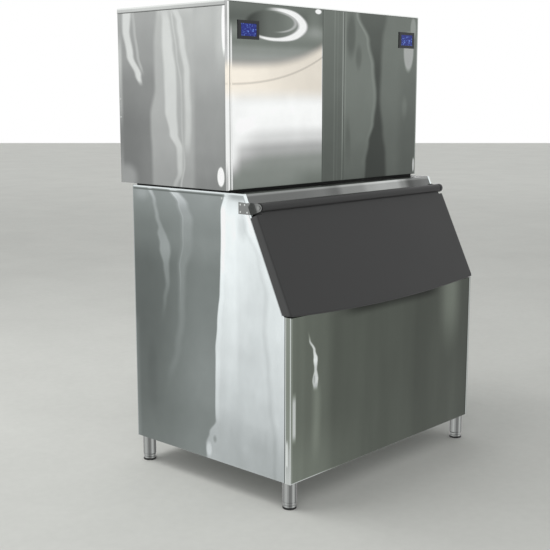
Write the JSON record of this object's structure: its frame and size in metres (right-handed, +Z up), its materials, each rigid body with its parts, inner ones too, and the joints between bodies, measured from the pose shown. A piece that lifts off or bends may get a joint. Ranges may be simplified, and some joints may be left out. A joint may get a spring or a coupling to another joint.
{
  "type": "cube ice machine",
  "caption": "Free-standing cube ice machine: stainless ice-making head over an insulated storage bin with a dark lift-up door and adjustable feet.",
  "frame": {"origin": "on the floor, at the middle of the machine's box", "axes": "+X to the machine's right, +Y to its back, +Z up"},
  "size_m": [1.234, 0.9967, 1.91],
  "materials": {
    "stainless_sheet": "satin",
    "top_cover_sheet": "satin",
    "back_panel_sheet": "satin",
    "liner_plastic": "satin",
    "foam": "matte",
    "drain_plastic": "satin",
    "bracket_steel": "satin",
    "leg_steel": "polished",
    "foot_steel": "satin",
    "pad_rubber": "matte",
    "door_plastic": "satin",
    "gasket_rubber": "matte",
    "rod_steel": "satin",
    "knob_plastic": "satin",
    "bezel_plastic": "satin",
    "display_blue": "gloss",
    "wall_plastic": "satin",
    "curtain_plastic": "satin",
    "control_box_steel": "satin",
    "evaporator_metal": "satin",
    "compressor_black": "satin",
    "condenser_aluminium": "satin",
    "fan_aluminium": "satin",
    "pump_plastic": "matte",
    "motor_metal": "satin",
    "copper": "satin",
    "hose_plastic": "satin"
  },
  "bodies": {
    "machine": {"bay_divider": "back_panel_sheet", "bin_back_panel": "stainless_sheet", "bin_drain_spout": "drain_plastic", "bin_floor_pan": "stainless_sheet", "bin_front_panel": "stainless_sheet", "bin_insulation": "foam", "bin_liner": "liner_plastic", "bin_side_left": "stainless_sheet", "bin_side_right": "stainless_sheet", "bin_top_panel": "stainless_sheet", "circulation_pumps": "pump_plastic", "compartment_wall": "wall_plastic", "compressor_left": "compressor_black", "compressor_right": "compressor_black", "condenser_left": "condenser_aluminium", "condenser_right": "condenser_aluminium", "control_box": "control_box_steel", "display_bezel_left": "bezel_plastic", "display_bezel_right": "bezel_plastic", "display_windows": "display_blue", "evaporator_left": "evaporator_metal", "evaporator_right": "evaporator_metal", "fan_motors": "motor_metal", "head_back_panel": "back_panel_sheet", "head_base_pan": "back_panel_sheet", "head_centre_strip": "stainless_sheet", "head_front_left": "stainless_sheet", "head_front_right": "stainless_sheet", "head_side_left": "stainless_sheet", "head_side_right": "stainless_sheet", "head_top_cover": "top_cover_sheet", "hinge_bracket_left": "bracket_steel", "hinge_bracket_right": "bracket_steel", "leg_tubes": "leg_steel", "refrigerant_lines": "copper", "seat_gasket": "gasket_rubber", "water_lines": "hose_plastic", "water_spreader_left": "wall_plastic", "water_spreader_right": "wall_plastic", "water_trough_left": "wall_plastic", "water_trough_right": "wall_plastic"},
    "door": {"door_shell": "door_plastic", "door_inner_panel": "door_plastic", "door_gasket": "gasket_rubber", "hinge_rod": "rod_steel", "rod_end_knob": "knob_plastic"},
    "fan_left": {"fan_left": "fan_aluminium"},
    "fan_right": {"fan_right": "fan_aluminium"},
    "splash_curtain_left": {"splash_curtain_left": "curtain_plastic"},
    "splash_curtain_right": {"splash_curtain_right": "curtain_plastic"},
    "adjusting_foot_front_left": {"foot_front_left": "foot_steel", "foot_pad_front_left": "pad_rubber"},
    "adjusting_foot_front_right": {"foot_front_right": "foot_steel", "foot_pad_front_right": "pad_rubber"},
    "adjusting_foot_back_left": {"foot_back_left": "foot_steel", "foot_pad_back_left": "pad_rubber"},
    "adjusting_foot_back_right": {"foot_back_right": "foot_steel", "foot_pad_back_right": "pad_rubber"}
  },
  "joints": [
    {"name": "door_hinge", "type": "hinge", "parent": "machine", "child": "door", "pos_m": [0, -0.30419, 1.14472], "axis": [-1, 0, 0], "range_deg": [0, 170]},
    {"name": "foot_screw_front_left", "type": "slide", "parent": "machine", "child": "adjusting_foot_front_left", "axis": [0, 0, 1], "range_m": [-0.02, 0]},
    {"name": "foot_screw_front_right", "type": "slide", "parent": "machine", "child": "adjusting_foot_front_right", "axis": [0, 0, 1], "range_m": [-0.02, 0]},
    {"name": "foot_screw_back_left", "type": "slide", "parent": "machine", "child": "adjusting_foot_back_left", "axis": [0, 0, 1], "range_m": [-0.02, 0]},
    {"name": "foot_screw_back_right", "type": "slide", "parent": "machine", "child": "adjusting_foot_back_right", "axis": [0, 0, 1], "range_m": [-0.02, 0]},
    {"name": "fan_spin_left", "type": "hinge", "parent": "machine", "child": "fan_left", "pos_m": [-0.305, 0.45104, 1.59], "axis": [0, 1, 0], "continuous": true},
    {"name": "curtain_swing_left", "type": "hinge", "parent": "machine", "child": "splash_curtain_left", "pos_m": [-0.305, 0.07204, 1.784], "axis": [-1, 0, 0], "range_deg": [0, 25]},
    {"name": "fan_spin_right", "type": "hinge", "parent": "machine", "child": "fan_right", "pos_m": [0.305, 0.45104, 1.59], "axis": [0, 1, 0], "continuous": true},
    {"name": "curtain_swing_right", "type": "hinge", "parent": "machine", "child": "splash_curtain_right", "pos_m": [0.305, 0.07204, 1.784], "axis": [-1, 0, 0], "range_deg": [0, 25]}
  ]
}
